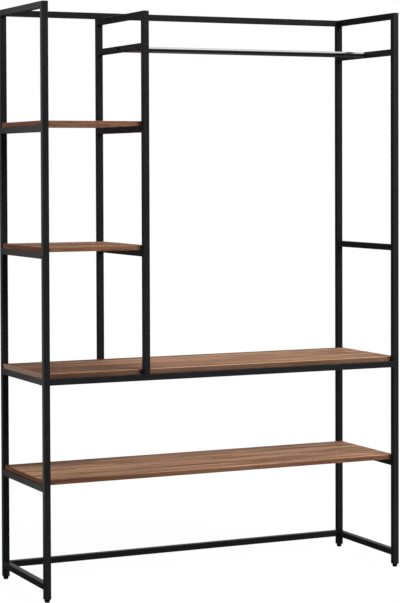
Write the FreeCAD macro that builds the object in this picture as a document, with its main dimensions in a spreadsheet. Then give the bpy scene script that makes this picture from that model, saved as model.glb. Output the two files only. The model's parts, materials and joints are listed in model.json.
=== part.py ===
import FreeCAD, Part
import os
import Sketcher

# Open frame wardrobe: square steel tube frames, four boards, a hanging rod and four screw feet.
# Millimetres. X runs to the right, Y to the back, Z up; the floor under the middle is the origin.

SIZES = {
    # Whole frame
    "overall_width": 1250,
    "overall_depth": 400,
    "overall_height": 1835,
    "tube_side": 20,
    "tube_wall": 1.2,
    "tube_corner": 1.5,
    "small_bay_width": 313,
    # Undersides of the rails above the floor
    "foot_rail_height": 38,
    "lower_shelf_height": 337,
    "main_shelf_height": 664,
    # From one rail of the shelf column to the next, and from the top of the frame to the rod's rails
    "shelf_pitch": 387,
    "hanging_drop": 119,
    # Boards
    "board_thickness": 15,
    "board_gap": 1,
    "board_inset": 2,
    "lower_board_inset": 5,
    "board_edge": 1.2,
    # How far the two long rails stand up in front of and behind the main board
    "board_lip": 0.8,
    # Spigots that join the knock-down rails
    "spigot_length": 30,
    "spigot_play": 0.15,
    # Hanging rod and its end fixings
    "rod_diameter": 20,
    "rod_wall": 1.2,
    "rod_plug_length": 22,
    "rod_plug_play": 0.05,
    "rod_screw_diameter": 6,
    "rod_screw_depth": 16,
    "rod_head_diameter": 10.5,
    "rod_head_height": 3.3,
    "rod_access_diameter": 12,
    # Screws that hold the boards down
    "shelf_screw_diameter": 4,
    "shelf_screw_depth": 10,
    "shelf_screw_spread": 240,
    "shelf_head_diameter": 8,
    "shelf_head_height": 2.4,
    "shelf_access_diameter": 10,
    "pilot_spare": 0.8,
    "hole_play": 0.25,
    "thread_play": 0.05,
    # Levelling feet
    "pad_diameter": 16,
    "pad_height": 5.5,
    "pad_edge": 2.2,
    "pad_roof": 1.6,
    "neck_diameter": 5,
    "disc_diameter": 8,
    "disc_height": 1.5,
    "swivel_gap": 0.15,
    "collar_diameter": 19.2,
    "collar_height": 4.15,
    "collar_edge": 0.5,
    "stop_gap": 0.2,
    "stud_diameter": 8,
    "stud_length": 24,
    "stud_edge": 0.8,
    "insert_flange": 1.5,
    "insert_length": 22,
    "insert_play": 0.1,
    # How far a cut runs past the material
    "overrun": 2,
}

# Positions and lengths that several sub-parts share
LEFT = "(size.tube_side / 2 - size.overall_width / 2)"
RIGHT = "(size.overall_width / 2 - size.tube_side / 2)"
DIVIDER = "(size.small_bay_width + size.tube_side * 3 / 2 - size.overall_width / 2)"
FRONT = "(size.tube_side / 2 - size.overall_depth / 2)"
BACK = "(size.overall_depth / 2 - size.tube_side / 2)"
FRONT_FACE = "(-size.overall_depth / 2)"
BEHIND_FRONT = "(size.tube_side - size.overall_depth / 2)"
BESIDE_LEFT = "(size.tube_side - size.overall_width / 2)"
BETWEEN_POSTS = "(size.overall_depth - 2 * size.tube_side)"
BETWEEN_SIDES = "(size.overall_width - 2 * size.tube_side)"
BORE = "(size.tube_side - 2 * size.tube_wall)"
COLLAR_FOOT = "(size.pad_height + size.swivel_gap)"
INSERT_FOOT = f"({COLLAR_FOOT} + size.collar_height + size.stop_gap)"
POST_FOOT = f"({INSERT_FOOT} + size.insert_flange)"
LONG_RAIL = "(size.main_shelf_height + size.board_lip)"
DIVIDER_FOOT = f"({LONG_RAIL} + size.tube_side)"
DIVIDER_TOP = "(size.overall_height - size.tube_side)"
FOOT_RAIL = "size.foot_rail_height"
LOWER_SHELF = "size.lower_shelf_height"
MAIN_SHELF = "size.main_shelf_height"
MIDDLE_SHELF = "(size.main_shelf_height + size.shelf_pitch)"
UPPER_SHELF = "(size.main_shelf_height + 2 * size.shelf_pitch)"
HANGING_RAIL = "(size.overall_height - size.hanging_drop - size.tube_side)"
ROD_AXIS = f"({HANGING_RAIL} + size.tube_side / 2)"
ROD_START = f"({DIVIDER} + size.tube_side / 2)"
ROD_END = f"({RIGHT} - size.tube_side / 2)"
SHELF_SCREW_PLACES = (
    f"({BETWEEN_POSTS} / 2 - size.shelf_screw_spread / 2)",
    f"({BETWEEN_POSTS} / 2 + size.shelf_screw_spread / 2)",
)

# How close two heights are to count as the same
TOUCH = 0.001

UPRIGHT = FreeCAD.Rotation()
ALONG_X = FreeCAD.Rotation(FreeCAD.Vector(0, 1, 0), 90)
AGAINST_X = FreeCAD.Rotation(FreeCAD.Vector(0, 1, 0), -90)
ALONG_Y = FreeCAD.Rotation(FreeCAD.Vector(1, 0, 0), -90)

doc = FreeCAD.newDocument("open_wardrobe")
sheet = doc.addObject("Spreadsheet::Sheet", "size")
for row, (alias, number) in enumerate(SIZES.items(), 1):
    sheet.set(f"A{row}", str(number))
    sheet.setAlias(f"A{row}", alias)
doc.recompute()

parts = []


# Shared helpers

def place(item, where, turn=UPRIGHT):
    """Turn an object and bind its origin to three formulas."""
    item.Placement = FreeCAD.Placement(FreeCAD.Vector(), turn)
    for axis, formula in zip("xyz", where):
        item.setExpression(f"Placement.Base.{axis}", formula)


def new_body(label):
    """A sub-part built from features."""
    body = doc.addObject("PartDesign::Body", label)
    body.Label = label
    parts.append(body)
    return body


def new_sketch(body, role):
    """A sketch on one of the body's own origin planes."""
    sketch = body.newObject("Sketcher::SketchObject", "sketch")
    plane = next(item for item in body.Origin.OriginFeatures if item.Role == role)
    sketch.AttachmentSupport = [(plane, "")]
    sketch.MapMode = "FlatFace"
    return sketch


def constrain(sketch, formula, *where):
    """A constraint whose value follows a formula."""
    index = sketch.addConstraint(Sketcher.Constraint(*where, 1))
    sketch.setExpression(f"Constraints[{index}]", formula)


def draw_outline(sketch, corners):
    """A closed loop of straight lines; returns the number of its first line."""
    first = sketch.GeometryCount
    count = len(corners)
    for number, corner in enumerate(corners):
        start = FreeCAD.Vector(*corner)
        end = FreeCAD.Vector(*corners[(number + 1) % count])
        sketch.addGeometry(Part.LineSegment(start, end))
    for number in range(count):
        following = first + (number + 1) % count
        sketch.addConstraint(Sketcher.Constraint("Coincident", first + number, 2, following, 1))
    return first


def draw_rectangle(sketch, width, height):
    """A rectangle about the sketch's origin."""
    first = draw_outline(sketch, ((-1, -1), (1, -1), (1, 1), (-1, 1)))
    for line in (first, first + 2):
        sketch.addConstraint(Sketcher.Constraint("Horizontal", line))
    for line in (first + 1, first + 3):
        sketch.addConstraint(Sketcher.Constraint("Vertical", line))
    sketch.addConstraint(Sketcher.Constraint("Symmetric", first, 1, first + 1, 2, -1, 1))
    constrain(sketch, width, "Distance", first)
    constrain(sketch, height, "Distance", first + 1)


def draw_hole(sketch, distance, radius):
    """A circle on the sketch's upright axis."""
    circle = sketch.addGeometry(Part.Circle(FreeCAD.Vector(0, 1), FreeCAD.Vector(0, 0, 1), 1))
    sketch.addConstraint(Sketcher.Constraint("PointOnObject", circle, 3, -2))
    constrain(sketch, distance, "DistanceY", -1, 1, circle, 3)
    constrain(sketch, radius, "Radius", circle)


def pad(body, sketch, length):
    """Raise a sketch into a solid."""
    feature = body.newObject("PartDesign::Pad", "pad")
    feature.Profile = sketch
    feature.setExpression("Length", length)
    doc.recompute()
    return feature


def cut_through(body, sketch, sides="Symmetric", flipped=False):
    """Cut a sketch right through, to both sides or to one."""
    feature = body.newObject("PartDesign::Pocket", "cut")
    feature.Profile = sketch
    feature.Type = "ThroughAll"
    feature.SideType = sides
    feature.Reversed = flipped
    doc.recompute()
    return feature


def cut_depth(body, sketch, depth):
    """Cut a sketch on the underside up to a depth."""
    feature = body.newObject("PartDesign::Pocket", "cut")
    feature.Profile = sketch
    feature.Reversed = True
    feature.setExpression("Length", depth)
    doc.recompute()
    return feature


def ease(body, kind, feature, size, wanted):
    """Round or bevel the edges of a feature that pass a test."""
    whole = feature.Shape.BoundBox
    edges = enumerate(feature.Shape.Edges, 1)
    names = [f"Edge{number}" for number, edge in edges if wanted(edge.BoundBox, whole)]
    eased = body.newObject(f"PartDesign::{kind}", "eased")
    eased.Base = (feature, names)
    eased.setExpression("Radius" if kind == "Fillet" else "Size", size)
    doc.recompute()
    return eased


def every_edge(edge, whole):
    """All edges of a feature."""
    return True


def outer_corner(edge, whole):
    """Edges along the body's axis on its outermost corners."""
    upright = edge.ZLength > edge.XLength + edge.YLength
    outermost = abs(edge.Center.x - whole.Center.x) * 2 > whole.XLength - TOUCH
    return upright and outermost


def bottom_edge(edge, whole):
    """Edges that lie on the underside."""
    return edge.ZMax < whole.ZMin + TOUCH


def top_edge(edge, whole):
    """Edges that lie on the top."""
    return edge.ZMin > whole.ZMax - TOUCH


def flat_edge(edge, whole):
    """Edges that lie on the top or the underside."""
    return bottom_edge(edge, whole) or top_edge(edge, whole)


def add_round(body, kind, start, **sizes):
    """Add or take away a cylinder or prism that stands on the body's axis."""
    feature = body.newObject(f"PartDesign::{kind}", "round")
    for name, formula in sizes.items():
        feature.setExpression(name, formula)
    feature.setExpression("Placement.Base.z", start)
    doc.recompute()
    return feature


def add_block(body, side, start, height):
    """Add a square block that stands on the body's axis."""
    feature = body.newObject("PartDesign::AdditiveBox", "block")
    for name in ("Length", "Width"):
        feature.setExpression(name, side)
    feature.setExpression("Height", height)
    for axis in "xy":
        feature.setExpression(f"Placement.Base.{axis}", f"-{side} / 2")
    feature.setExpression("Placement.Base.z", start)
    doc.recompute()
    return feature


def primitive(kind, where, turn=UPRIGHT, **sizes):
    """A loose box or cylinder, placed and sized by formulas."""
    item = doc.addObject(f"Part::{kind}", "piece")
    for name, formula in sizes.items():
        item.setExpression(name, formula)
    place(item, where, turn)
    return item


def join(kind, base, tool):
    """A fuse or a cut of two pieces."""
    item = doc.addObject(f"Part::{kind}", "joined")
    item.Base = base
    item.Tool = tool
    return item


def group(label, items):
    """Identical loose pieces kept together as one sub-part."""
    compound = doc.addObject("Part::Compound", label)
    compound.Label = label
    compound.Links = items
    parts.append(compound)


# Square tube

def cut_mitre(body, length, at_end, side):
    """Cut one end of a tube at half a right angle; side tells which face is left shorter."""
    sketch = new_sketch(body, "YZ_Plane")
    up = -1 if at_end else 1
    first = draw_outline(sketch, ((side, 0), (side, up), (-side, 0)))
    sketch.addConstraint(Sketcher.Constraint("Vertical", first))
    sketch.addConstraint(Sketcher.Constraint("Horizontal", first + 2))
    sketch.addConstraint(Sketcher.Constraint("Equal", first, first + 2))
    constrain(sketch, "size.tube_side + 2 * size.overrun", "Distance", first)
    reach = (-1, 1, first, 1) if side > 0 else (first, 1, -1, 1)
    constrain(sketch, "size.tube_side / 2 + size.overrun", "DistanceX", *reach)
    if at_end:
        constrain(sketch, f"{length} + size.overrun", "DistanceY", -1, 1, first, 1)
    else:
        constrain(sketch, "size.overrun", "DistanceY", first, 1, -1, 1)
    cut_through(body, sketch)


def drill(body, plane, radius, distances, sides="Symmetric", flipped=False):
    """Drill holes across a tube at distances along it."""
    sketch = new_sketch(body, plane)
    for distance in distances:
        draw_hole(sketch, distance, radius)
    cut_through(body, sketch, sides, flipped)


def make_tube(label, length, where, turn=UPRIGHT, mitres=()):
    """A hollow square tube that starts at a point and runs along one axis."""
    body = new_body(label)
    sketch = new_sketch(body, "XY_Plane")
    draw_rectangle(sketch, "size.tube_side", "size.tube_side")
    draw_rectangle(sketch, BORE, BORE)
    ease(body, "Fillet", pad(body, sketch, length), "size.tube_corner", outer_corner)
    for at_end, side in mitres:
        cut_mitre(body, length, at_end, side)
    place(body, where, turn)
    return body


def rail_axis(underside):
    """Height of a rail's axis from the height of its underside."""
    return f"({underside} + size.tube_side / 2)"


def make_cross_rail(label, across, underside):
    """A rail that runs front to back between two posts."""
    where = (across, BEHIND_FRONT, rail_axis(underside))
    return make_tube(label, BETWEEN_POSTS, where, ALONG_Y)


def make_shelf_rail(label, across, underside):
    """A front-to-back rail with screw holes for the board on it and driver holes below them."""
    rail = make_cross_rail(label, across, underside)
    drill(rail, "XZ_Plane", "size.shelf_screw_diameter / 2 + size.hole_play", SHELF_SCREW_PLACES)
    drill(rail, "XZ_Plane", "size.shelf_access_diameter / 2", SHELF_SCREW_PLACES, "One side")


def make_hanging_rail(label, across, opens_right):
    """The front-to-back rail at an end of the rod, with a screw hole and a driver hole behind it."""
    rail = make_cross_rail(label, across, HANGING_RAIL)
    middle = (f"({BETWEEN_POSTS} / 2)",)
    drill(rail, "YZ_Plane", "size.rod_screw_diameter / 2 + size.hole_play", middle)
    drill(rail, "YZ_Plane", "size.rod_access_diameter / 2", middle, "One side", opens_right)


def make_long_rail(label, depth, axis_height):
    """A rail that runs the length of the wardrobe between the two sides."""
    make_tube(label, BETWEEN_SIDES, (BESIDE_LEFT, depth, axis_height), ALONG_X)


def make_side(name, across):
    """The posts, top, main, lower and foot rails that both ends of the wardrobe have."""
    post = f"(size.overall_height - {POST_FOOT})"
    make_tube(f"{name}_front_post", post, (across, FRONT, POST_FOOT), mitres=((True, 1),))
    make_tube(f"{name}_back_post", post, (across, BACK, POST_FOOT), mitres=((True, -1),))
    top = (across, FRONT_FACE, "size.overall_height - size.tube_side / 2")
    make_tube(f"{name}_top_rail", "size.overall_depth", top, ALONG_Y, ((False, 1), (True, 1)))
    make_shelf_rail(f"{name}_main_shelf_rail", across, MAIN_SHELF)
    make_shelf_rail(f"{name}_lower_shelf_rail", across, LOWER_SHELF)
    make_cross_rail(f"{name}_foot_rail", across, FOOT_RAIL)


# The two ends and the divider

make_side("left", LEFT)
make_shelf_rail("left_upper_shelf_rail", LEFT, UPPER_SHELF)
make_shelf_rail("left_middle_shelf_rail", LEFT, MIDDLE_SHELF)

make_side("right", RIGHT)
make_hanging_rail("right_hanging_rail", RIGHT, True)
make_cross_rail("right_middle_rail", RIGHT, MIDDLE_SHELF)

divider_post = f"({DIVIDER_TOP} - {DIVIDER_FOOT})"
make_tube("divider_front_post", divider_post, (DIVIDER, FRONT, DIVIDER_FOOT), mitres=((True, 1),))
make_tube("divider_back_post", divider_post, (DIVIDER, BACK, DIVIDER_FOOT))
make_tube(
    "divider_top_rail",
    "(size.overall_depth - size.tube_side)",
    (DIVIDER, FRONT_FACE, f"{DIVIDER_TOP} - size.tube_side / 2"),
    ALONG_Y,
    ((False, 1),),
)
make_hanging_rail("divider_hanging_rail", DIVIDER, False)
make_shelf_rail("divider_upper_shelf_rail", DIVIDER, UPPER_SHELF)
make_shelf_rail("divider_middle_shelf_rail", DIVIDER, MIDDLE_SHELF)

# Long rails and the spigots they slide onto

long_rails = {
    "back_top_rail": (BACK, "(size.overall_height - size.tube_side / 2)"),
    "front_main_rail": (FRONT, rail_axis(LONG_RAIL)),
    "back_main_rail": (BACK, rail_axis(LONG_RAIL)),
    "back_foot_rail": (BACK, rail_axis(FOOT_RAIL)),
}
spigot_side = f"({BORE} - 2 * size.spigot_play)"
long_spigots = []
for label, (depth, axis_height) in long_rails.items():
    make_long_rail(label, depth, axis_height)
    for start in (BESIDE_LEFT, f"-{BESIDE_LEFT} - size.spigot_length"):
        corner = (start, f"{depth} - {spigot_side} / 2", f"{axis_height} - {spigot_side} / 2")
        long_spigots.append(
            primitive("Box", corner, Length="size.spigot_length", Width=spigot_side, Height=spigot_side)
        )
group("long_rail_spigots", long_spigots)

divider_spigots = []
for depth, start in (
    (FRONT, DIVIDER_FOOT),
    (BACK, DIVIDER_FOOT),
    (BACK, f"{DIVIDER_TOP} - size.spigot_length"),
):
    corner = (f"{DIVIDER} - {spigot_side} / 2", f"{depth} - {spigot_side} / 2", start)
    divider_spigots.append(
        primitive("Box", corner, Length=spigot_side, Width=spigot_side, Height="size.spigot_length")
    )
group("divider_spigots", divider_spigots)


# Boards and the screws that hold them from below

def make_board(label, middle, span, inset, underside, screw_rails):
    """A board that rests on two rails, with its screws up through them."""
    body = new_body(label)
    sketch = new_sketch(body, "XY_Plane")
    length = f"({span} + size.tube_side - 2 * size.{inset})"
    draw_rectangle(sketch, length, f"({BETWEEN_POSTS} - 2 * size.board_gap)")
    blank = pad(body, sketch, "size.board_thickness")
    ease(body, "Fillet", blank, "size.board_edge", every_edge)
    pilots = new_sketch(body, "XY_Plane")
    screws = []
    for across, end in zip(screw_rails, (-1, 1)):
        for way in (-1, 1):
            draw_pilot(pilots, span, end, way)
            screws.append(make_shelf_screw(across, way, underside))
    cut_depth(body, pilots, "size.shelf_screw_depth + size.pilot_spare")
    place(body, (middle, "0", f"{underside} + size.tube_side"))
    group(f"{label}_screws", screws)


def draw_pilot(sketch, span, end, way):
    """One pilot hole, on the axis of a rail and off to the front or the back."""
    centre = FreeCAD.Vector(end, way)
    circle = sketch.addGeometry(Part.Circle(centre, FreeCAD.Vector(0, 0, 1), 1))
    across = (-1, 1, circle, 3) if end > 0 else (circle, 3, -1, 1)
    along = (-1, 1, circle, 3) if way > 0 else (circle, 3, -1, 1)
    constrain(sketch, f"{span} / 2", "DistanceX", *across)
    constrain(sketch, "size.shelf_screw_spread / 2", "DistanceY", *along)
    constrain(sketch, "size.shelf_screw_diameter / 2 + size.thread_play", "Radius", circle)


def make_shelf_screw(across, way, underside):
    """A screw with its head up inside a rail and its point in the board."""
    depth = f"{way} * size.shelf_screw_spread / 2"
    head_foot = f"{underside} + size.tube_side - size.tube_wall - size.shelf_head_height"
    head = primitive(
        "Cylinder",
        (across, depth, head_foot),
        Radius="size.shelf_head_diameter / 2",
        Height="size.shelf_head_height",
    )
    shank = primitive(
        "Cylinder",
        (across, depth, head_foot),
        Radius="size.shelf_screw_diameter / 2",
        Height="size.shelf_head_height + size.tube_wall + size.shelf_screw_depth",
    )
    return join("Fuse", head, shank)


small_middle = f"(({LEFT} + {DIVIDER}) / 2)"
small_span = "(size.small_bay_width + size.tube_side)"
full_span = "(size.overall_width - size.tube_side)"
make_board("upper_shelf", small_middle, small_span, "board_inset", UPPER_SHELF, (LEFT, DIVIDER))
make_board("middle_shelf", small_middle, small_span, "board_inset", MIDDLE_SHELF, (LEFT, DIVIDER))
make_board("main_shelf", "0", full_span, "board_inset", MAIN_SHELF, (LEFT, RIGHT))
make_board("lower_shelf", "0", full_span, "lower_board_inset", LOWER_SHELF, (LEFT, RIGHT))

# Hanging rod, with a plug and a screw at each end

rod = new_body("hanging_rod")
rod_length = f"({ROD_END} - {ROD_START})"
rod_bore = "(size.rod_diameter / 2 - size.rod_wall)"
add_round(rod, "AdditiveCylinder", "0", Radius="size.rod_diameter / 2", Height=rod_length)
add_round(rod, "SubtractiveCylinder", "0", Radius=rod_bore, Height=rod_length)
place(rod, (ROD_START, "0", ROD_AXIS), ALONG_X)

rod_plugs = []
rod_screws = []
for end, turn, inward in ((ROD_START, ALONG_X, 1), (ROD_END, AGAINST_X, -1)):
    plug = primitive(
        "Cylinder",
        (end, "0", ROD_AXIS),
        turn,
        Radius=f"{rod_bore} - size.rod_plug_play",
        Height="size.rod_plug_length",
    )
    plug_bore = primitive(
        "Cylinder",
        (f"{end} - {inward} * size.overrun", "0", ROD_AXIS),
        turn,
        Radius="size.rod_screw_diameter / 2 + size.thread_play",
        Height="size.rod_plug_length + 2 * size.overrun",
    )
    rod_plugs.append(join("Cut", plug, plug_bore))
    head_foot = f"{end} - {inward} * (size.tube_wall + size.rod_head_height)"
    head = primitive(
        "Cylinder",
        (head_foot, "0", ROD_AXIS),
        turn,
        Radius="size.rod_head_diameter / 2",
        Height="size.rod_head_height",
    )
    shank = primitive(
        "Cylinder",
        (head_foot, "0", ROD_AXIS),
        turn,
        Radius="size.rod_screw_diameter / 2",
        Height="size.rod_head_height + size.tube_wall + size.rod_screw_depth",
    )
    rod_screws.append(join("Fuse", head, shank))
group("hanging_rod_plugs", rod_plugs)
group("hanging_rod_screws", rod_screws)


# Levelling feet: an insert in the post, a screw that turns in it and a pad the screw swivels in

def make_foot_insert(label, across, depth):
    """A square plug with a flange that closes the post and carries the thread."""
    body = new_body(label)
    flange = add_block(body, "size.tube_side", "0", "size.insert_flange")
    ease(body, "Fillet", flange, "size.tube_corner", outer_corner)
    add_block(body, f"({BORE} - 2 * size.insert_play)", "size.insert_flange", "size.insert_length")
    add_round(
        body,
        "SubtractiveCylinder",
        "0",
        Radius="size.stud_diameter / 2 + size.thread_play",
        Height="size.insert_flange + size.insert_length",
    )
    place(body, (across, depth, INSERT_FOOT))


def make_foot_screw(label, across, depth):
    """A stud with a six-sided collar and a captive disc below it."""
    body = new_body(label)
    collar = add_round(
        body,
        "AdditivePrism",
        "0",
        Circumradius="size.collar_diameter / 2",
        Height="size.collar_height",
    )
    ease(body, "Chamfer", collar, "size.collar_edge", flat_edge)
    stud = add_round(
        body,
        "AdditiveCylinder",
        "size.collar_height",
        Radius="size.stud_diameter / 2",
        Height="size.stud_length",
    )
    ease(body, "Chamfer", stud, "size.stud_edge", top_edge)
    neck_height = "(size.pad_roof + 2 * size.swivel_gap)"
    add_round(
        body,
        "AdditiveCylinder",
        f"-{neck_height}",
        Radius="size.neck_diameter / 2",
        Height=neck_height,
    )
    add_round(
        body,
        "AdditiveCylinder",
        f"-{neck_height} - size.disc_height",
        Radius="size.disc_diameter / 2",
        Height="size.disc_height",
    )
    place(body, (across, depth, COLLAR_FOOT))


def make_foot_pad(label, across, depth):
    """A round pad on the floor with a hidden room for the screw's disc."""
    body = new_body(label)
    puck = add_round(
        body,
        "AdditiveCylinder",
        "0",
        Radius="size.pad_diameter / 2",
        Height="size.pad_height",
    )
    ease(body, "Fillet", puck, "size.pad_edge", bottom_edge)
    room_height = "(size.disc_height + 2 * size.swivel_gap)"
    add_round(
        body,
        "SubtractiveCylinder",
        f"size.pad_height - size.pad_roof - {room_height}",
        Radius="size.disc_diameter / 2 + size.swivel_gap",
        Height=room_height,
    )
    add_round(
        body,
        "SubtractiveCylinder",
        "size.pad_height - size.pad_roof",
        Radius="size.neck_diameter / 2 + size.swivel_gap",
        Height="size.pad_roof",
    )
    place(body, (across, depth, "0"))


for side_name, across in (("left", LEFT), ("right", RIGHT)):
    for end_name, depth in (("front", FRONT), ("back", BACK)):
        corner_name = f"{side_name}_{end_name}"
        make_foot_insert(f"{corner_name}_foot_insert", across, depth)
        make_foot_screw(f"{corner_name}_foot_screw", across, depth)
        make_foot_pad(f"{corner_name}_foot_pad", across, depth)

# Check every object and write the sub-parts

doc.recompute()
for item in doc.Objects:
    if "Invalid" in item.State or "Error" in item.State:
        raise RuntimeError(f"{item.Label} did not build")

os.makedirs("parts", exist_ok=True)
for part in parts:
    if part.Shape.isNull() or not part.Shape.isValid():
        raise RuntimeError(f"{part.Label} has no sound shape")
    part.Shape.exportStep(f"parts/{part.Label}.step")
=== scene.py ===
"""Looks of an open frame wardrobe: coated tube frame, walnut boards, plated rod and screw feet."""

import json
import math

import bpy
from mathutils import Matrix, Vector


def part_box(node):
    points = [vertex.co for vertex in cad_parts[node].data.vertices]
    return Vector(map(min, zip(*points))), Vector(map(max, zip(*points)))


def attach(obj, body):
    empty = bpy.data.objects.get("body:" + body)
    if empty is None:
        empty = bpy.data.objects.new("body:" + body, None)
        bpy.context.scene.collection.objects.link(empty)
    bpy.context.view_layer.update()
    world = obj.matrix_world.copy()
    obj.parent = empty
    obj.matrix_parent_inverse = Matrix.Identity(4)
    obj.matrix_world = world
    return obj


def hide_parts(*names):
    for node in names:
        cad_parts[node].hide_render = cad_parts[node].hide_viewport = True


bl_info = {
    "name": "Open Frame Wardrobe",
    "version": (1, 0, 0),
    "blender": (4, 5, 0),
    "location": "View3D > Sidebar > Wardrobe",
    "description": "Finishes, feet, fixings and studio for an open frame wardrobe",
    "category": "Object",
}

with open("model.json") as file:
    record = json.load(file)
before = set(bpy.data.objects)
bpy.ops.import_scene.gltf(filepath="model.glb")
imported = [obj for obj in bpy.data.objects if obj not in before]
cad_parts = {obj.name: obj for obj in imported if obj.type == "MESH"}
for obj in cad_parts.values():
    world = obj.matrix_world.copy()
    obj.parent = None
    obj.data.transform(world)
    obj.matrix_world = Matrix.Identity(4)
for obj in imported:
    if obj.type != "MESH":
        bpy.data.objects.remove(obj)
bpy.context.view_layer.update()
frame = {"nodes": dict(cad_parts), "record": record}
MM = 0.001
WHITE = (1, 1, 1, 1)


def linear(hex_colour):
    """An sRGB hex colour as linear red, green and blue."""
    channels = [int(hex_colour[start:start + 2], 16) / 255 for start in (1, 3, 5)]
    return tuple(c / 12.92 if c <= 0.04045 else ((c + 0.055) / 1.055) ** 2.4 for c in channels)


def nodes_in(slot):
    """The CAD nodes that the record gives to one material slot."""
    return [part["node"] for part in frame["record"]["subparts"] if part["material_slot"] == slot]


# Settings that a user would change

def colour_setting(name, description, hex_colour):
    """A colour with its picker."""
    return bpy.props.FloatVectorProperty(
        name=name, description=description, subtype="COLOR", min=0, max=1, default=linear(hex_colour)
    )


def length_setting(name, description, default):
    """A length in metres."""
    return bpy.props.FloatProperty(
        name=name, description=description, subtype="DISTANCE", unit="LENGTH", min=0, precision=5,
        default=default,
    )


def share_setting(name, description, default):
    """A number from nothing to all."""
    return bpy.props.FloatProperty(
        name=name, description=description, subtype="FACTOR", min=0, max=1, default=default
    )


def power_setting(name, description, default):
    """The power of a lamp."""
    return bpy.props.FloatProperty(
        name=name, description=description, subtype="POWER", unit="POWER", min=0, default=default
    )


class CoatSettings(bpy.types.PropertyGroup):
    """The frame's powder coat."""

    colour: colour_setting("Colour", "Black of the coat", "#19191a")
    thin: colour_setting("Thin spots", "Black where the coat lies thinner", "#202022")
    peel: length_setting("Orange peel", "Width of the coat's dimples", 1.6 * MM)
    peel_depth: length_setting("Orange peel depth", "Depth of the coat's dimples", 0.06 * MM)
    cloud: length_setting("Cloud width", "Width of the thick and thin places", 120 * MM)
    cloud_height: length_setting("Cloud height", "Height of the thick and thin places", 260 * MM)
    roughness: share_setting("Roughness", "How matt the coat is", 0.33)


class WalnutSettings(bpy.types.PropertyGroup):
    """The boards' walnut veneer."""

    dark: colour_setting("Dark wood", "Late wood and heart streaks", "#5e3b25")
    middle: colour_setting("Middle wood", "Most of the face", "#987257")
    light: colour_setting("Light wood", "Sap streaks", "#bd9474")
    pore: colour_setting("Pores", "Open pores along the grain", "#4a3226")
    # Painted highlight, with a little wear: the colour of the eased corners between face and edging
    rubbed_and_highlit: colour_setting("Rubbed corners", "Wood where the eased corners are rubbed", "#dcb999")
    # Painted shade and reflection: the main and lower boards' edging is coloured darker than the small
    # boards', and the main board's ends paler
    edge: colour_setting("Small boards' edging", "Front and back strips of the small boards", "#5c3e2e")
    end: colour_setting("Small boards' ends", "End strips of the two small boards", "#6e3d28")
    main_edge_shaded: colour_setting("Main board's edging", "Front and back strips of the main board", "#543b2e")
    main_end_sheen: colour_setting("Main board's ends", "End strips of the main board", "#a58975")
    lower_edge_shaded: colour_setting("Lower board's edging", "Front and back strips of that board", "#4e2f21")
    lower_end: colour_setting("Lower board's ends", "End strips of the lower board", "#6c4432")
    flame: length_setting("Flame width", "Width of the broad tone bands", 75 * MM)
    flame_length: length_setting("Flame length", "Length of the broad tone bands", 900 * MM)
    streak: length_setting("Streak width", "Width of the streaks", 30 * MM)
    streak_length: length_setting("Streak length", "Length of the streaks", 1100 * MM)
    ring: length_setting("Ring spacing", "Spacing of the growth rings", 50 * MM)
    ring_length: length_setting("Ring length", "Length over which a growth ring wanders", 2600 * MM)
    grain: length_setting("Grain width", "Width of the fine grain lines", 3.5 * MM)
    grain_length: length_setting("Grain length", "Length of the fine grain lines", 90 * MM)
    pore_width: length_setting("Pore width", "Width of a pore as drawn", 0.9 * MM)
    pore_length: length_setting("Pore length", "Length of a pore as drawn", 14 * MM)
    pore_depth: length_setting("Pore depth", "Depth of a pore as drawn", 0.08 * MM)
    streak_share: share_setting("Streaks", "Share of the streaks in the broad bands", 0.55)
    ring_share: share_setting("Rings", "Share of the growth rings in the tone", 0.14)
    grain_share: share_setting("Grain", "Share of the fine grain in the tone", 0.2)
    roughness: share_setting("Roughness", "How matt the lacquer is", 0.62)


class MetalSettings(bpy.types.PropertyGroup):
    """Metal and plastic finishes."""

    plate: colour_setting("Rod plating", "Bright plating of the rod", "#c4c5c8")
    draw_line: length_setting("Draw line width", "Width of the rod's draw lines", 0.8 * MM)
    draw_length: length_setting("Draw line length", "Length of the rod's draw lines", 200 * MM)
    zinc: colour_setting("Zinc", "Plating of the screws", "#a9abaf")
    black_steel: colour_setting("Blackened steel", "Oil-blackened foot screws", "#3a3a3c")
    tool_ring: length_setting("Tool rings", "Spacing of the rings that turning leaves", 0.5 * MM)
    stain: length_setting("Stains", "Width of the cloudy places on turned metal", 4 * MM)
    plastic: colour_setting("Plastic", "Black moulded plastic", "#161617")
    grit: length_setting("Mould grain", "Width of the plastic's grain", 0.6 * MM)
    grit_depth: length_setting("Mould grain depth", "Depth of the plastic's grain", 0.05 * MM)


class ScrewSettings(bpy.types.PropertyGroup):
    """The screws of the boards and of the rod."""

    board_head: length_setting("Board screw head", "Diameter of the pan head", 8 * MM)
    board_head_height: length_setting("Board screw head height", "Height of the pan head", 2.4 * MM)
    board_shank: length_setting("Board screw shank", "Diameter over the thread", 4 * MM)
    board_point: length_setting("Board screw point", "Length of the tapered point", 2.2 * MM)
    cross: length_setting("Cross recess", "Width of the cross recess", 4.4 * MM)
    cross_slot: length_setting("Cross slot", "Width of one slot of the cross", 0.9 * MM)
    rod_head: length_setting("Rod screw head", "Diameter of the button head", 10.5 * MM)
    rod_head_height: length_setting("Rod screw head height", "Height of the button head", 3.3 * MM)
    rod_shank: length_setting("Rod screw shank", "Diameter over the thread", 6 * MM)
    rod_length: length_setting("Rod screw length", "Whole length of the screw", 20.5 * MM)
    rod_tip: length_setting("Rod screw tip", "Chamfer at the end of the shank", 0.7 * MM)
    socket: length_setting("Hex socket", "Width across the corners of the socket", 4.6 * MM)


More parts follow.
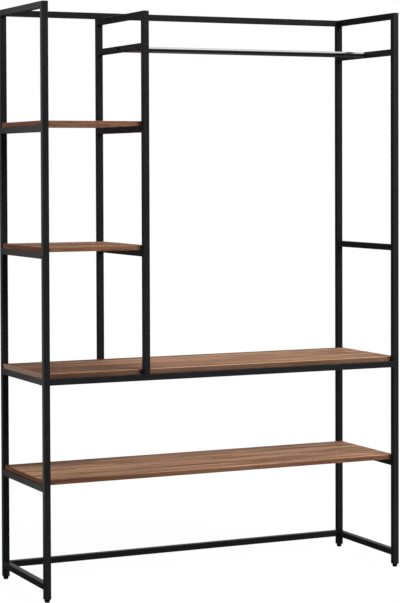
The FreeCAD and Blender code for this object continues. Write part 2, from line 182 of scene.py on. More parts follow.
class FootSettings(bpy.types.PropertyGroup):
    """The screw of a levelling foot."""

    disc: length_setting("Swivel disc", "Diameter of the disc held in the pad", 8 * MM)
    disc_height: length_setting("Swivel disc height", "Height of the disc", 1.5 * MM)
    disc_edge: length_setting("Swivel disc edge", "Round of the disc's lower edge", 0.3 * MM)
    neck: length_setting("Neck", "Diameter of the neck over the disc", 5 * MM)
    neck_height: length_setting("Neck height", "Height of the neck", 1.9 * MM)
    collar_height: length_setting("Collar height", "Height of the hexagon for the spanner", 4.15 * MM)
    collar_edge: length_setting("Collar edge", "Chamfer of the hexagon", 0.5 * MM)
    stud: length_setting("Stud", "Diameter over the thread", 8 * MM)
    pitch: length_setting("Pitch", "Rise of the thread in one turn", 1.25 * MM)
    thread: length_setting("Thread depth", "Depth of the thread", 0.7 * MM)


class StudioSettings(bpy.types.PropertyGroup):
    """The camera, the lamps and the floor."""

    place: bpy.props.FloatVectorProperty(
        name="Camera place", description="Where the camera stands", subtype="TRANSLATION", unit="LENGTH",
        default=(-2.6905, -5.7560, 1.3331),
    )
    turn: bpy.props.FloatVectorProperty(
        name="Camera turn", description="How the camera is turned", subtype="EULER", unit="ROTATION",
        default=tuple(math.radians(angle) for angle in (88.4084, 0.1982, -25.0033)),
    )
    lens: bpy.props.FloatProperty(
        name="Lens", description="Focal length on a 36 mm frame", unit="CAMERA", default=116.305
    )
    rise: bpy.props.FloatProperty(
        name="Rise", description="Vertical shift of the lens, as a share of the frame's long side",
        default=-0.1352,
    )
    floor: colour_setting("Floor", "Pale floor", "#e6e6e6")
    top_lamp: power_setting("Top lamp", "Wide soft lamp overhead", 14)
    side_lamp: power_setting("Side lamp", "Soft lamp beside the shelf column", 1.2)
    front_lamp: power_setting("Front lamp", "Soft lamp high in front", 242)
    back_lamp: power_setting("Back lamp", "Soft lamp behind, for the frame's back", 120)
    left_lamp: power_setting("Left lamp", "Soft lamp on the left, for the boards' ends", 40)
    fill: bpy.props.FloatProperty(
        name="Fill", description="Strength of the room's soft fill", min=0, default=0.2
    )


# Modelling tools

HEIGHT_LEEWAY = 0.01 * MM
MERGE_REACH = 0.001 * MM
CREASE_ANGLE = math.radians(35)


def take(piece):
    """Select one piece alone and make it the active one."""
    bpy.ops.object.select_all(action="DESELECT")
    piece.select_set(True)
    bpy.context.view_layer.objects.active = piece


def turned_blank(radius, place, height, sides, turn=0):
    """An upright cylinder or prism to shape further, standing on its place."""
    bpy.ops.object.select_all(action="DESELECT")
    bpy.ops.mesh.primitive_cylinder_add(
        vertices=sides, radius=radius, depth=height, location=place + Vector((0, 0, height / 2)),
        rotation=(0, 0, turn),
    )
    bpy.ops.object.transform_apply(location=True, rotation=True, scale=True)
    return bpy.context.object


def pick_faces(piece, test):
    """Edit mode with the faces selected whose centre passes a test."""
    bpy.ops.object.mode_set(mode="EDIT")
    bpy.ops.mesh.select_mode(type="FACE")
    bpy.ops.mesh.select_all(action="DESELECT")
    bpy.ops.object.mode_set(mode="OBJECT")
    for face in piece.data.polygons:
        face.select = test(face.center)
    bpy.ops.object.mode_set(mode="EDIT")


def pick_edges(piece, test):
    """Edit mode with the edges selected whose two ends pass a test."""
    bpy.ops.object.mode_set(mode="EDIT")
    bpy.ops.mesh.select_mode(type="EDGE")
    bpy.ops.mesh.select_all(action="DESELECT")
    bpy.ops.object.mode_set(mode="OBJECT")
    points = piece.data.vertices
    for edge in piece.data.edges:
        edge.select = all(test(points[end].co) for end in edge.vertices)
    bpy.ops.object.mode_set(mode="EDIT")


def at_height(height):
    """A test for points at one height."""
    return lambda point: abs(point.z - height) < HEIGHT_LEEWAY


def bevel_rim(piece, height, width, segments):
    """Round the edges that lie at one height."""
    pick_edges(piece, at_height(height))
    bpy.ops.mesh.bevel(offset=width, segments=segments, affect="EDGES")
    bpy.ops.object.mode_set(mode="OBJECT")


def draw_up(piece, height, step_in, rise):
    """Inset the face at one height and draw it upwards."""
    pick_faces(piece, at_height(height))
    bpy.ops.mesh.inset(thickness=step_in)
    bpy.ops.mesh.extrude_region_move(TRANSFORM_OT_translate={"value": (0, 0, rise)})
    bpy.ops.object.mode_set(mode="OBJECT")


def cut_out(piece, cutter):
    """Take a cutter's shape out of a piece."""
    take(piece)
    bpy.ops.object.modifier_add(type="BOOLEAN")
    modifier = piece.modifiers[-1]
    modifier.object = cutter
    modifier.operation = "DIFFERENCE"
    modifier.solver = "EXACT"
    bpy.ops.object.modifier_apply(modifier=modifier.name)
    bpy.data.objects.remove(cutter)


def copied(piece, step):
    """A copy with its own mesh, moved by a step."""
    take(piece)
    bpy.ops.object.duplicate()
    copy = bpy.context.object
    copy.location = step
    bpy.ops.object.transform_apply(location=True, rotation=False, scale=False)
    return copy


def joined(pieces):
    """Several pieces as one, with smooth rounds and crisp edges."""
    bpy.ops.object.select_all(action="DESELECT")
    for piece in pieces:
        piece.select_set(True)
    bpy.context.view_layer.objects.active = pieces[0]
    bpy.ops.object.join()
    bpy.ops.object.shade_smooth_by_angle(angle=CREASE_ANGLE)
    return bpy.context.object


def stand_in_for(piece, node, body, material):
    """Name a finished piece, dress it, and put it in the place of a CAD node."""
    piece.name = f"{node}_detailed"
    piece.data.materials.clear()
    piece.data.materials.append(material)
    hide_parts(node)
    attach(piece, body)


# Material tools

def new_material(name):
    """A material with a fresh shader; returns it, its tree and its shader node."""
    material = bpy.data.materials.new(name)
    material.use_nodes = True
    tree = material.node_tree
    return material, tree, tree.nodes["Principled BSDF"]


def feed(tree, node, inputs):
    """Give a node's inputs their values, or the outputs that drive them."""
    for socket, source in inputs.items():
        if isinstance(source, bpy.types.NodeSocket):
            tree.links.new(source, node.inputs[socket])
        else:
            node.inputs[socket].default_value = source


def add_node(tree, kind, inputs=None, **settings):
    """A node with its settings, values and links."""
    node = tree.nodes.new(kind)
    for name, value in settings.items():
        setattr(node, name, value)
    feed(tree, node, inputs or {})
    return node


def steps_of(*sizes):
    """The scale at which one step of a pattern is as long as the given sizes."""
    return [1 / size for size in sizes]


def fill_ramp(ramp, stops):
    """Give a colour ramp its stops, each a position and a colour."""
    ramp.elements.remove(ramp.elements[1])
    ramp.elements[0].position, ramp.elements[0].color = stops[0]
    for position, colour in stops[1:]:
        ramp.elements.new(position).color = colour


def opaque(colour):
    """A colour with full alpha."""
    return (*colour, 1)


def dimmed(colour):
    """A slightly darker colour, for the cloudy places of a finish."""
    return [channel * 0.8 for channel in colour]


def dress(names, material):
    """Give CAD nodes a material."""
    for name in names:
        mesh = frame["nodes"][name].data
        mesh.materials.clear()
        mesh.materials.append(material)


# Finishes

def powder_coat(coat):
    """Polyester powder baked on steel: an even satin black whose fine dimples soften every reflection."""
    material, tree, shader = new_material("black_powder_coat")
    coords = add_node(tree, "ShaderNodeTexCoord").outputs["Object"]
    # Real dimples are about half a millimetre; they are drawn wider so that they show
    peel = add_node(tree, "ShaderNodeTexNoise", {
        "Vector": coords, "Scale": 1 / coat.peel, "Detail": 2, "Roughness": 0.6,
    })
    # The spray lies a little thicker in some places than in others
    tall = add_node(
        tree, "ShaderNodeMapping",
        {"Vector": coords, "Scale": steps_of(coat.cloud, coat.cloud, coat.cloud_height)},
    )
    cloud = add_node(
        tree, "ShaderNodeTexNoise", {"Vector": tall.outputs["Vector"], "Scale": 1, "Detail": 3}
    ).outputs["Fac"]
    tint = add_node(
        tree, "ShaderNodeMix", {"Factor": cloud, "A": opaque(coat.colour), "B": opaque(coat.thin)},
        data_type="RGBA",
    )
    matt = add_node(
        tree, "ShaderNodeMapRange",
        {"Value": cloud, "To Min": coat.roughness - 0.06, "To Max": coat.roughness + 0.06},
    )
    dimples = add_node(tree, "ShaderNodeBump", {
        "Height": peel.outputs["Fac"], "Strength": 0.25, "Distance": coat.peel_depth,
    })
    feed(tree, shader, {
        "Base Color": tint.outputs["Result"],
        "Roughness": matt.outputs["Result"],
        "Normal": dimples.outputs["Normal"],
        "Specular IOR Level": 0.2,
    })
    return material


# Where the mixed tone of the wood turns dark, middling and light
WOOD_TONES = (0.41, 0.5, 0.59)
# Painted shade: where the darkening towards a board's left end is deepest and where it has run out, along
# the board in metres
LEFT_SHADE_SPAN = {"From Min": -0.55, "From Max": -0.1}
# From which level of its pattern a pore opens, where it is fully open, and how strongly it is then tinted
PORE_SPAN = {"From Min": 0.6, "From Max": 0.7, "To Max": 0.6}
# An end strip is told by the part of its normal that points along the board, and an edge strip by the part
# that points across; each shows most of its own colour over the veneer
END_FROM = 0.7
END_SHARE = 0.7
EDGE_SPAN = {"From Min": 0.8, "From Max": 0.98, "To Max": 0.8}
# An eased corner is told by the upright part of its normal, give or take
EASED_SLOPE = 0.65
EASED_LEEWAY = 0.25


# The heart argument sets how deep the painted shade at a board's left end is
def walnut_veneer(name, wood, leaf, heart, rub_and_highlight_share, edge_colour, end_colour):
    """Sliced walnut under satin lacquer: long streaks along the board, fine dark pores, plainer edging,
    with painted shade towards the left end and a painted highlight on the eased corners.
    """
    material, tree, shader = new_material(f"walnut_veneer_{name}")
    place = add_node(tree, "ShaderNodeTexCoord").outputs
    spot = add_node(tree, "ShaderNodeSeparateXYZ", {"Vector": place["Object"]}).outputs
    normal = add_node(tree, "ShaderNodeVectorMath", {0: place["Normal"]}, operation="ABSOLUTE")
    facing = add_node(tree, "ShaderNodeSeparateXYZ", {"Vector": normal.outputs["Vector"]}).outputs
    is_end = add_node(
        tree, "ShaderNodeMath", {0: facing["X"], 1: END_FROM}, operation="GREATER_THAN"
    ).outputs["Value"]
    # On the two ends the edging's grain runs from front to back
    sideways = add_node(tree, "ShaderNodeCombineXYZ", {"X": spot["Y"], "Y": spot["X"], "Z": spot["Z"]})
    along = add_node(
        tree, "ShaderNodeMix", {"Factor": is_end, "A": place["Object"], "B": sideways.outputs["Vector"]},
        data_type="VECTOR",
    )
    # Every board is cut from another leaf of the log
    coords = add_node(tree, "ShaderNodeVectorMath", {0: along.outputs["Result"], 1: leaf}, operation="ADD")
    tone, grain, pore = walnut_figure(tree, wood, coords.outputs["Vector"])
    # Painted shade: the tone darkens towards each board's left end, most on the main board, where the shelf
    # column stands over it
    darker = add_node(
        tree, "ShaderNodeMapRange", {"Value": spot["X"], **LEFT_SHADE_SPAN, "To Min": -heart, "To Max": 0},
        interpolation_type="SMOOTHSTEP",
    )
    left_shaded_tone = add_node(tree, "ShaderNodeMath", {0: tone, 1: darker.outputs["Result"]}, operation="ADD")
    face = add_node(tree, "ShaderNodeValToRGB", {"Fac": left_shaded_tone.outputs["Value"]})
    shades = [opaque(shade) for shade in (wood.dark, wood.middle, wood.light)]
    fill_ramp(face.color_ramp, list(zip(WOOD_TONES, shades)))
    open_pore = add_node(tree, "ShaderNodeMapRange", {"Value": pore, **PORE_SPAN})
    is_edge = add_node(tree, "ShaderNodeMapRange", {"Value": facing["Y"], **EDGE_SPAN})
    end_strip = add_node(tree, "ShaderNodeMath", {0: is_end, 1: END_SHARE}, operation="MULTIPLY")
    # The eased corner between face and edging is coloured lighter: a painted highlight, strongest on the
    # main board, with a little wear
    eased = add_node(
        tree, "ShaderNodeMath", {0: facing["Z"], 1: EASED_SLOPE, 2: EASED_LEEWAY}, operation="COMPARE"
    )
    rub_and_highlight = add_node(tree, "ShaderNodeMath", {0: eased.outputs["Value"], 1: rub_and_highlight_share}, operation="MULTIPLY")
    colour = face.outputs["Color"]
    for share, tint in (
        (open_pore.outputs["Result"], wood.pore),
        (is_edge.outputs["Result"], edge_colour),
        (end_strip.outputs["Value"], end_colour),
        (rub_and_highlight.outputs["Value"], wood.rubbed_and_highlit),
    ):
        colour = add_node(
            tree, "ShaderNodeMix", {"Factor": share, "A": colour, "B": opaque(tint)}, data_type="RGBA"
        ).outputs["Result"]
    matt = add_node(
        tree, "ShaderNodeMapRange",
        {"Value": grain, "To Min": wood.roughness - 0.08, "To Max": wood.roughness + 0.08},
    )
    hollows = add_node(
        tree, "ShaderNodeBump", {"Height": pore, "Strength": 0.2, "Distance": wood.pore_depth}
    )
    feed(tree, shader, {
        "Base Color": colour,
        "Roughness": matt.outputs["Result"],
        "Normal": hollows.outputs["Normal"],
        "Specular IOR Level": 0.1,
    })
    return material


def walnut_figure(tree, wood, coords):
    """The mixed tone of the wood, its fine grain and its pores."""
    patterns = {}
    for name, length, width, detail, roughness, distortion in (
        ("flame", wood.flame_length, wood.flame, 3, 0.55, 0.4),
        ("streak", wood.streak_length, wood.streak, 4, 0.65, 0.3),
        ("grain", wood.grain_length, wood.grain, 3, 0.6, 0),
        # Real pores are a few tenths of a millimetre wide; they are drawn wider so that they show
        ("pore", wood.pore_length, wood.pore_width, 1, 0.5, 0),
    ):
        drawn = add_node(
            tree, "ShaderNodeMapping", {"Vector": coords, "Scale": steps_of(length, width, width)}
        )
        patterns[name] = add_node(tree, "ShaderNodeTexNoise", {
            "Vector": drawn.outputs["Vector"], "Scale": 1,
            "Detail": detail, "Roughness": roughness, "Distortion": distortion,
        }).outputs["Fac"]
    # A wave texture draws one band in pi / 10 of its own units
    band = wood.ring * 10 / math.pi
    drawn = add_node(
        tree, "ShaderNodeMapping", {"Vector": coords, "Scale": steps_of(wood.ring_length, band, band)}
    )
    ring = add_node(
        tree, "ShaderNodeTexWave",
        {"Vector": drawn.outputs["Vector"], "Scale": 1, "Distortion": 16,
         "Detail": 4, "Detail Scale": 1.3, "Detail Roughness": 0.7},
        wave_type="BANDS", bands_direction="Y", wave_profile="SAW",
    )
    tone = patterns["flame"]
    for share, pattern in (
        (wood.streak_share, patterns["streak"]),
        (wood.ring_share, ring.outputs["Fac"]),
        (wood.grain_share, patterns["grain"]),
    ):
        tone = add_node(
            tree, "ShaderNodeMix", {"Factor": share, "A": tone, "B": pattern}, data_type="FLOAT"
        ).outputs["Result"]
    return tone, patterns["grain"], patterns["pore"]


def bright_plating(metal):
    """Chromium on drawn steel tube: a mirror with faint draw lines along the tube."""
    material, tree, shader = new_material("bright_plating")
    coords = add_node(tree, "ShaderNodeTexCoord").outputs["Object"]
    # Real draw lines are finer; they are drawn wider so that they show
    drawn = add_node(
        tree, "ShaderNodeMapping",
        {"Vector": coords, "Scale": steps_of(metal.draw_length, metal.draw_line, metal.draw_line)},
    )
    lines = add_node(
        tree, "ShaderNodeTexNoise", {"Vector": drawn.outputs["Vector"], "Scale": 1, "Detail": 2}
    )
    matt = add_node(
        tree, "ShaderNodeMapRange", {"Value": lines.outputs["Fac"], "To Min": 0.1, "To Max": 0.2}
    )
    feed(tree, shader, {
        "Base Color": opaque(metal.plate), "Metallic": 1, "Roughness": matt.outputs["Result"],
    })
    return material


def turned_metal(name, metal, colour, roughness):
    """Plated or blackened steel turned on a lathe: fine rings and a cloudy sheen."""
    material, tree, shader = new_material(name)
    coords = add_node(tree, "ShaderNodeTexCoord").outputs["Object"]
    # Real tool rings lie closer together; they are drawn further apart so that they show
    turned = add_node(
        tree, "ShaderNodeMapping",
        {"Vector": coords, "Scale": steps_of(metal.stain, metal.stain, metal.tool_ring)},
    )
    cloud = add_node(
        tree, "ShaderNodeTexNoise", {"Vector": turned.outputs["Vector"], "Scale": 1, "Detail": 3}
    ).outputs["Fac"]
    matt = add_node(
        tree, "ShaderNodeMapRange", {"Value": cloud, "To Min": roughness - 0.08, "To Max": roughness + 0.12}
    )
    tint = add_node(
        tree, "ShaderNodeMix", {"Factor": cloud, "A": opaque(dimmed(colour)), "B": opaque(colour)},
        data_type="RGBA",
    )
    feed(tree, shader, {
        "Base Color": tint.outputs["Result"], "Metallic": 1, "Roughness": matt.outputs["Result"],
    })
    return material


def moulded_plastic(metal):
    """Black polyamide from an eroded mould: matt, with a fine even grain."""
    material, tree, shader = new_material("black_moulded_plastic")
    coords = add_node(tree, "ShaderNodeTexCoord").outputs["Object"]
    # Real mould grain is finer; it is drawn coarser so that it shows
    grit = add_node(
        tree, "ShaderNodeTexNoise", {"Vector": coords, "Scale": 1 / metal.grit, "Detail": 1}
    ).outputs["Fac"]
    tint = add_node(
        tree, "ShaderNodeMix",
        {"Factor": grit, "A": opaque(dimmed(metal.plastic)), "B": opaque(metal.plastic)}, data_type="RGBA",
    )
    relief = add_node(
        tree, "ShaderNodeBump", {"Height": grit, "Strength": 0.3, "Distance": metal.grit_depth}
    )
    feed(tree, shader, {
        "Base Color": tint.outputs["Result"], "Roughness": 0.6, "Normal": relief.outputs["Normal"],
    })
    return material


# Operators, one for each group of pieces

class WARDROBE_OT_coat_frame(bpy.types.Operator):
    """Coat the tubes of the frame"""

    bl_idname = "wardrobe.coat_frame"
    bl_label = "Coat the frame"

    def execute(self, context):
        dress(nodes_in("frame_paint"), powder_coat(context.scene.wardrobe_coat))
        return {"FINISHED"}


class WARDROBE_OT_veneer_boards(bpy.types.Operator):
    """Lay walnut veneer on the boards"""

    bl_idname = "wardrobe.veneer_boards"
    bl_label = "Veneer the boards"

    def execute(self, context):
        wood = context.scene.wardrobe_walnut
        # Each board's place in the log, how deep the painted shade at its left end is, how strong the
        # painted highlight and wear on its eased corners are, its edging and end colours, which differ
        # between boards as painted shade and reflection
        for name, leaf, heart, rub_and_highlight_share, edge, end in (
            ("upper_shelf", (3.1, 0.4, 0), 0, 0.1, wood.edge, wood.end),
            ("middle_shelf", (7.3, 1.9, 0), 0.04, 0.05, wood.edge, wood.end),
            ("main_shelf", (0.0, 3.2, 0), 0.085, 0.9, wood.main_edge_shaded, wood.main_end_sheen),
            ("lower_shelf", (2.2, 8.4, 0), 0.03, 0.08, wood.lower_edge_shaded, wood.lower_end),
        ):
            dress([name], walnut_veneer(name, wood, leaf, heart, rub_and_highlight_share, edge, end))
        return {"FINISHED"}


class WARDROBE_OT_plate_rod(bpy.types.Operator):
    """Plate the hanging rod"""

    bl_idname = "wardrobe.plate_rod"
    bl_label = "Plate the rod"

    def execute(self, context):
        dress(nodes_in("rod_chrome"), bright_plating(context.scene.wardrobe_metal))
        return {"FINISHED"}


class WARDROBE_OT_drive_screws(bpy.types.Operator):
    """Model the screws of the boards and of the rod, and finish the hidden spigots"""

    bl_idname = "wardrobe.drive_screws"
    bl_label = "Drive the screws"

    def execute(self, context):
        screws = context.scene.wardrobe_screws
        metal = context.scene.wardrobe_metal
        zinc = turned_metal("zinc_plated_steel", metal, metal.zinc, roughness=0.35)
        dress(nodes_in("spigot_steel"), turned_metal("plain_steel", metal, metal.zinc, roughness=0.5))
        dress(nodes_in("screw_steel"), zinc)
        for board in ("upper_shelf", "middle_shelf", "main_shelf", "lower_shelf"):
            node = f"{board}_screws"
            stand_in_for(board_screws(node, screws), node, "frame", zinc)
        stand_in_for(rod_screws(screws), "hanging_rod_screws", "frame", zinc)
        return {"FINISHED"}


# Shares of a screw head's height: the round of its rim, and the depth of its recess or socket
RIM_SHARE = 0.6
RECESS_SHARE = 0.7
SOCKET_SHARE = 0.6
# How much of its width a recess keeps at the bottom, and a shank at its point
TAPER_SHARE = 0.5
POINT_SHARE = 0.1


def board_screws(node, screws):
    """Four pan-head screws with cross recesses, in the rails of one board."""
    low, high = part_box(node)
    radius = screws.board_head / 2
    foot = low + Vector((radius, radius, 0))
    shoulder = low.z + screws.board_head_height
    screw = turned_blank(radius, foot, screws.board_head_height, sides=32)
    bevel_rim(screw, low.z, screws.board_head_height * RIM_SHARE, segments=4)
    draw_up(screw, shoulder, radius - screws.board_shank / 2, high.z - screws.board_point - shoulder)
    # The last of the shank runs to a blunt point
    pick_faces(screw, at_height(high.z - screws.board_point))
    bpy.ops.mesh.extrude_region_move(TRANSFORM_OT_translate={"value": (0, 0, screws.board_point)})
    bpy.ops.transform.resize(value=(POINT_SHARE, POINT_SHARE, 1), center_override=foot)
    bpy.ops.object.mode_set(mode="OBJECT")
    for turn in (0, math.pi / 2):
        cut_out(screw, cross_slot(foot, screws, turn))
    far = high - low - Vector((screws.board_head, screws.board_head, 0))
    steps = ((far.x, 0, 0), (0, far.y, 0), (far.x, far.y, 0))
    return joined([screw] + [copied(screw, step) for step in steps])


def cross_slot(point, screws, turn):
    """A cutter for one slot of a cross recess, narrower towards its bottom."""
    depth = screws.board_head_height * RECESS_SHARE
    bpy.ops.object.select_all(action="DESELECT")
    bpy.ops.mesh.primitive_cube_add(size=1, location=point, rotation=(0, 0, turn))
    cutter = bpy.context.object
    cutter.scale = (screws.cross, screws.cross_slot, 2 * depth)
    bpy.ops.object.transform_apply(location=True, rotation=True, scale=True)
    pick_faces(cutter, at_height(point.z + depth))
    bpy.ops.transform.resize(value=(TAPER_SHARE, TAPER_SHARE, 1), center_override=point)
    bpy.ops.object.mode_set(mode="OBJECT")
    return cutter


def rod_screws(screws):
    """Two button-head screws with hexagon sockets, one at each end of the rod."""
    low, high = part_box("hanging_rod_screws")
    radius = screws.rod_head / 2
    shank = screws.rod_length - screws.rod_head_height
    screw = turned_blank(radius, Vector((0, 0, 0)), screws.rod_head_height, sides=40)
    bevel_rim(screw, 0, screws.rod_head_height * RIM_SHARE, segments=4)
    draw_up(screw, screws.rod_head_height, radius - screws.rod_shank / 2, shank)
    bevel_rim(screw, screws.rod_length, screws.rod_tip, segments=2)
    depth = screws.rod_head_height * SOCKET_SHARE
    cut_out(screw, turned_blank(screws.socket / 2, Vector((0, 0, -depth)), 2 * depth, sides=6))
    other = copied(screw, (0, 0, 0))
    middle = (low + high) / 2
    for piece, end, turn in ((screw, low.x, math.pi / 2), (other, high.x, -math.pi / 2)):
        take(piece)
        piece.location = (end, middle.y, middle.z)
        piece.rotation_euler = (0, turn, 0)
        bpy.ops.object.transform_apply(location=True, rotation=True, scale=True)
    return joined([screw, other])


class WARDROBE_OT_fit_feet(bpy.types.Operator):
    """Model the screws of the feet, and finish their inserts and pads"""

    bl_idname = "wardrobe.fit_feet"
    bl_label = "Fit the feet"

    def execute(self, context):
        metal = context.scene.wardrobe_metal
        plastic = moulded_plastic(metal)
        steel = turned_metal("blackened_steel", metal, metal.black_steel, roughness=0.4)
        dress(nodes_in("insert_plastic") + nodes_in("pad_plastic"), plastic)
        dress(nodes_in("foot_steel"), steel)
        corners = ("left_front", "left_back", "right_front", "right_back")
        places = [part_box(f"{corner}_foot_screw")[0] for corner in corners]
        first = foot_screw(f"{corners[0]}_foot_screw", context.scene.wardrobe_foot)
        screws = [first] + [copied(first, place - places[0]) for place in places[1:]]
        for corner, screw in zip(corners, screws):
            stand_in_for(screw, f"{corner}_foot_screw", f"{corner}_screw", steel)
        return {"FINISHED"}


# Half the height of the thread's ridge, as a share of the pitch, and its facets in one turn
RIDGE_SHARE = 0.48
RIDGE_STEPS = 20


def foot_screw(node, foot):
    """A stud with a rolled thread, a hexagon for the spanner, and a disc that turns in the pad."""
    low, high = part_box(node)
    base = Vector(((low.x + high.x) / 2, (low.y + high.y) / 2, low.z))
    collar_low = base + Vector((0, 0, foot.disc_height + foot.neck_height))
    stud_low = collar_low + Vector((0, 0, foot.collar_height))
    disc = turned_blank(foot.disc / 2, base, foot.disc_height, sides=32)
    bevel_rim(disc, base.z, foot.disc_edge, segments=2)
    draw_up(disc, base.z + foot.disc_height, (foot.disc - foot.neck) / 2, foot.neck_height)
    collar = turned_blank((high.x - low.x) / 2, collar_low, foot.collar_height, sides=6, turn=math.pi / 6)
    bevel_rim(collar, collar_low.z, foot.collar_edge, segments=2)
    bevel_rim(collar, stud_low.z, foot.collar_edge, segments=2)
    core = turned_blank(foot.stud / 2 - foot.thread, stud_low, high.z - stud_low.z, sides=32)
    bevel_rim(core, high.z, foot.thread, segments=2)
    turns = int((high.z - stud_low.z) / foot.pitch) - 2
    return joined([disc, collar, core, thread(stud_low, turns, foot)])


def thread(place, turns, foot):
    """A ridge wound round the stud."""
    reach = foot.stud / 2 - foot.thread / 2
    bpy.ops.object.select_all(action="DESELECT")
    bpy.ops.mesh.primitive_circle_add(
        vertices=4, radius=1, location=place + Vector((reach, 0, foot.pitch)), rotation=(math.pi / 2, 0, 0)
    )
    ridge = bpy.context.object
    ridge.scale = (foot.thread / 2, foot.pitch * RIDGE_SHARE, 1)
    bpy.ops.object.transform_apply(location=True, rotation=True, scale=True)
    bpy.context.scene.cursor.location = place
    bpy.ops.object.origin_set(type="ORIGIN_CURSOR")
    bpy.ops.object.modifier_add(type="SCREW")
    winding = ridge.modifiers[-1]
    winding.screw_offset = foot.pitch
    winding.iterations = turns
    winding.steps = winding.render_steps = RIDGE_STEPS
    bpy.ops.object.modifier_apply(modifier=winding.name)
    bpy.ops.object.transform_apply(location=True, rotation=True, scale=True)
    bpy.context.scene.cursor.location = (0, 0, 0)
    bpy.ops.object.mode_set(mode="EDIT")
    bpy.ops.mesh.select_all(action="SELECT")
    bpy.ops.mesh.remove_doubles(threshold=MERGE_REACH)
    bpy.ops.mesh.fill_holes(sides=4)
    bpy.ops.mesh.normals_make_consistent(inside=False)
    bpy.ops.object.mode_set(mode="OBJECT")
    return ridge


class WARDROBE_OT_set_studio(bpy.types.Operator):
    """Set the floor, the background, the lamps and the camera"""

    bl_idname = "wardrobe.set_studio"
    bl_label = "Set the studio"

    def execute(self, context):
        studio = context.scene.wardrobe_studio
        lay_floor(studio)
        fill_room(context.scene, studio)
        # Each lamp's size, place and target in metres, and whether metal mirrors it
        for name, size, place, target, mirrored in (
            ("top_lamp", (4.0, 3.0), (0.2, 0.2, 4.5), (0.1, 0, 0.6), True),
            ("side_lamp", (0.25, 2.2), (-1.03, 0.8, 1.0), (-0.62, 0, 1.0), True),
            ("front_lamp", (2.4, 1.8), (1.6, -3.2, 3.1), (0, 0, 0.6), False),
            ("back_lamp", (2.5, 1.6), (2.4, 4.0, 1.0), (0, 0, 1.0), False),
            ("left_lamp", (2.0, 2.0), (-4.4, 0.8, 1.0), (-0.6, 0, 1.0), False),
        ):
            hang_lamp(name, getattr(studio, name), size, place, target, mirrored)
        set_camera(context.scene, studio)
        context.scene.view_settings.view_transform = "Standard"
        return {"FINISHED"}


FLOOR_SIZE = 60
FLOOR_GLOW = 1.02
# How white the camera sees the floor, by the distance in metres: near the wardrobe a little shadow stays
WHITE_SPAN = {"From Min": 1, "From Max": 3, "To Min": 0.95, "To Max": 1}
# How bright metal sees the floor, by the distance behind the wardrobe in metres
FLOOR_IN_METAL = {"From Min": 1.2, "From Max": 6, "To Min": 0.02, "To Max": 0.05}


def lay_floor(studio):
    """A pale floor that the camera sees white, with the object's shadow left on it."""
    bpy.ops.object.select_all(action="DESELECT")
    bpy.ops.mesh.primitive_plane_add(size=FLOOR_SIZE)
    floor = bpy.context.object
    floor.name = "floor"
    material, tree, shader = new_material("pale_floor")
    feed(tree, shader, {"Base Color": opaque(studio.floor), "Roughness": 0.9, "Specular IOR Level": 0})
    path = add_node(tree, "ShaderNodeLightPath").outputs
    coords = add_node(tree, "ShaderNodeTexCoord").outputs["Object"]
    spot = add_node(tree, "ShaderNodeSeparateXYZ", {"Vector": coords})
    # In metal the floor is dark, as in a black studio, and a little lighter far back
    in_metal = add_node(tree, "ShaderNodeMapRange", {"Value": spot.outputs["Y"], **FLOOR_IN_METAL})
    strength = add_node(
        tree, "ShaderNodeMix",
        {"Factor": path["Is Glossy Ray"], "A": FLOOR_GLOW, "B": in_metal.outputs["Result"]},
        data_type="FLOAT",
    )
    white = add_node(tree, "ShaderNodeEmission", {"Color": WHITE, "Strength": strength.outputs["Result"]})
    # The shadow is kept near the feet, and further off the floor runs into the background
    far = add_node(tree, "ShaderNodeVectorMath", {0: coords}, operation="LENGTH")
    whiteness = add_node(tree, "ShaderNodeMapRange", {"Value": far.outputs["Value"], **WHITE_SPAN})
    share = add_node(
        tree, "ShaderNodeMath", {0: seen_directly(tree, path), 1: whiteness.outputs["Result"]},
        operation="MULTIPLY",
    )
    shown = add_node(
        tree, "ShaderNodeMixShader",
        {0: share.outputs["Value"], 1: shader.outputs["BSDF"], 2: white.outputs["Emission"]},
    )
    feed(tree, tree.nodes["Material Output"], {"Surface": shown.outputs["Shader"]})
    floor.data.materials.append(material)


def seen_directly(tree, path):
    """One where the camera sees a surface itself or in metal or glass, else nothing."""
    reflected = add_node(
        tree, "ShaderNodeMath", {0: path["Is Glossy Ray"], 1: path["Is Transmission Ray"]},
        operation="MAXIMUM",
    )
    seen = add_node(
        tree, "ShaderNodeMath", {0: path["Is Camera Ray"], 1: reflected.outputs["Value"]},
        operation="MAXIMUM",
    )
    return seen.outputs["Value"]


# How bright metal sees the studio, from the far side of a leaning dome to its crown
DOME_AXIS = (0.2, 0.45, 0.84)
DOME_STOPS = ((0.15, 0.02), (0.45, 0.025), (0.64, 0.03), (0.82, 0.28), (0.93, 1))
# From which height above the horizon metal sees plain white, on every side
OVERHEAD_SPAN = {"From Min": 0.5, "From Max": 0.8}
# How far to the left metal sees the studio's pale end wall, and how bright that is
LEFT_SPAN = {"From Min": -0.65, "From Max": -0.95, "To Max": 0.4}


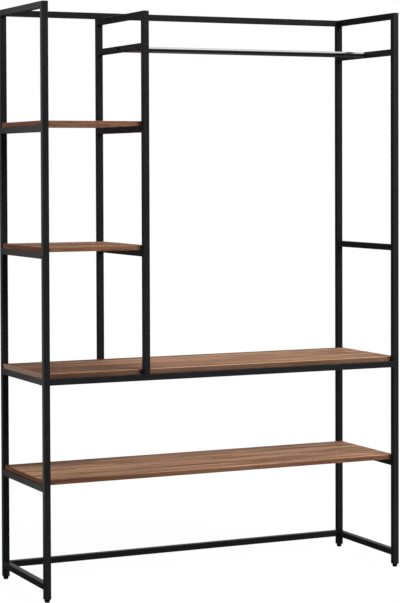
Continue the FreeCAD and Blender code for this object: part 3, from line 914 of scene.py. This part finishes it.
def fill_room(scene, studio):
    """A white background and a weaker even fill, with the dark studio that metal mirrors."""
    world = bpy.data.worlds.new("studio")
    world.use_nodes = True
    tree = world.node_tree
    fill = tree.nodes["Background"]
    feed(tree, fill, {"Color": WHITE, "Strength": studio.fill})
    path = add_node(tree, "ShaderNodeLightPath").outputs
    ray = add_node(tree, "ShaderNodeTexCoord").outputs["Generated"]
    # Metal sees white at the dome's crown, above and behind, falling to the dark end of the studio in front
    lean = add_node(tree, "ShaderNodeVectorMath", {0: ray, 1: DOME_AXIS}, operation="DOT_PRODUCT")
    level = add_node(
        tree, "ShaderNodeMapRange", {"Value": lean.outputs["Value"], "From Min": -1, "From Max": 1}
    )
    dome = add_node(tree, "ShaderNodeValToRGB", {"Fac": level.outputs["Result"]})
    fill_ramp(dome.color_ramp, [(position, opaque((grey,) * 3)) for position, grey in DOME_STOPS])
    # Straight overhead it is white on every side, and the left end of the studio is pale
    toward = add_node(tree, "ShaderNodeSeparateXYZ", {"Vector": ray}).outputs
    overhead = add_node(tree, "ShaderNodeMapRange", {"Value": toward["Z"], **OVERHEAD_SPAN})
    left_end = add_node(tree, "ShaderNodeMapRange", {"Value": toward["X"], **LEFT_SPAN})
    pale = add_node(
        tree, "ShaderNodeMath", {0: overhead.outputs["Result"], 1: left_end.outputs["Result"]},
        operation="MAXIMUM",
    )
    in_metal = add_node(
        tree, "ShaderNodeMath", {0: dome.outputs["Color"], 1: pale.outputs["Value"]}, operation="MAXIMUM"
    )
    seen = add_node(
        tree, "ShaderNodeMix",
        {"Factor": path["Is Glossy Ray"], "A": WHITE, "B": in_metal.outputs["Value"]}, data_type="RGBA",
    )
    backdrop = add_node(tree, "ShaderNodeBackground", {"Color": seen.outputs["Result"], "Strength": 1})
    shown = add_node(
        tree, "ShaderNodeMixShader",
        {0: seen_directly(tree, path), 1: fill.outputs["Background"], 2: backdrop.outputs["Background"]},
    )
    feed(tree, tree.nodes["World Output"], {"Surface": shown.outputs["Shader"]})
    scene.world = world


def hang_lamp(name, power, size, place, target, mirrored):
    """A soft rectangular lamp aimed at a point, seen in metal or not."""
    lamp = bpy.data.lights.new(name, "AREA")
    lamp.energy = power
    lamp.shape = "RECTANGLE"
    lamp.size, lamp.size_y = size
    item = bpy.data.objects.new(name, lamp)
    item.location = place
    item.visible_camera = False
    item.visible_glossy = mirrored
    item.rotation_euler = (Vector(target) - Vector(place)).to_track_quat("-Z", "Y").to_euler()
    bpy.context.scene.collection.objects.link(item)


def set_camera(scene, studio):
    """The photograph's viewpoint."""
    camera = bpy.data.cameras.new("camera")
    camera.lens = studio.lens
    camera.sensor_width = 36
    camera.shift_y = studio.rise
    item = bpy.data.objects.new("camera", camera)
    item.location = studio.place
    item.rotation_euler = studio.turn
    scene.collection.objects.link(item)
    scene.camera = item


class WARDROBE_PT_panel(bpy.types.Panel):
    """The wardrobe's tools"""

    bl_idname = "WARDROBE_PT_panel"
    bl_label = "Open Frame Wardrobe"
    bl_space_type = "VIEW_3D"
    bl_region_type = "UI"
    bl_category = "Wardrobe"

    def draw(self, context):
        for operator in OPERATORS:
            self.layout.operator(operator.bl_idname)


SETTINGS = {
    "wardrobe_coat": CoatSettings,
    "wardrobe_walnut": WalnutSettings,
    "wardrobe_metal": MetalSettings,
    "wardrobe_screws": ScrewSettings,
    "wardrobe_foot": FootSettings,
    "wardrobe_studio": StudioSettings,
}
OPERATORS = (
    WARDROBE_OT_coat_frame,
    WARDROBE_OT_veneer_boards,
    WARDROBE_OT_plate_rod,
    WARDROBE_OT_drive_screws,
    WARDROBE_OT_fit_feet,
    WARDROBE_OT_set_studio,
)


def register():
    """Add the settings, the operators and the panel."""
    for name, group in SETTINGS.items():
        bpy.utils.register_class(group)
        setattr(bpy.types.Scene, name, bpy.props.PointerProperty(type=group))
    for operator in OPERATORS:
        bpy.utils.register_class(operator)
    bpy.utils.register_class(WARDROBE_PT_panel)


def unregister():
    """Take them away again."""
    bpy.utils.unregister_class(WARDROBE_PT_panel)
    for operator in reversed(OPERATORS):
        bpy.utils.unregister_class(operator)
    for name, group in reversed(SETTINGS.items()):
        delattr(bpy.types.Scene, name)
        bpy.utils.unregister_class(group)


def main():
    """Build everything."""
    register()
    for operator in OPERATORS:
        getattr(bpy.ops.wardrobe, operator.bl_idname.split(".")[1])()


if __name__ == "__main__":
    main()
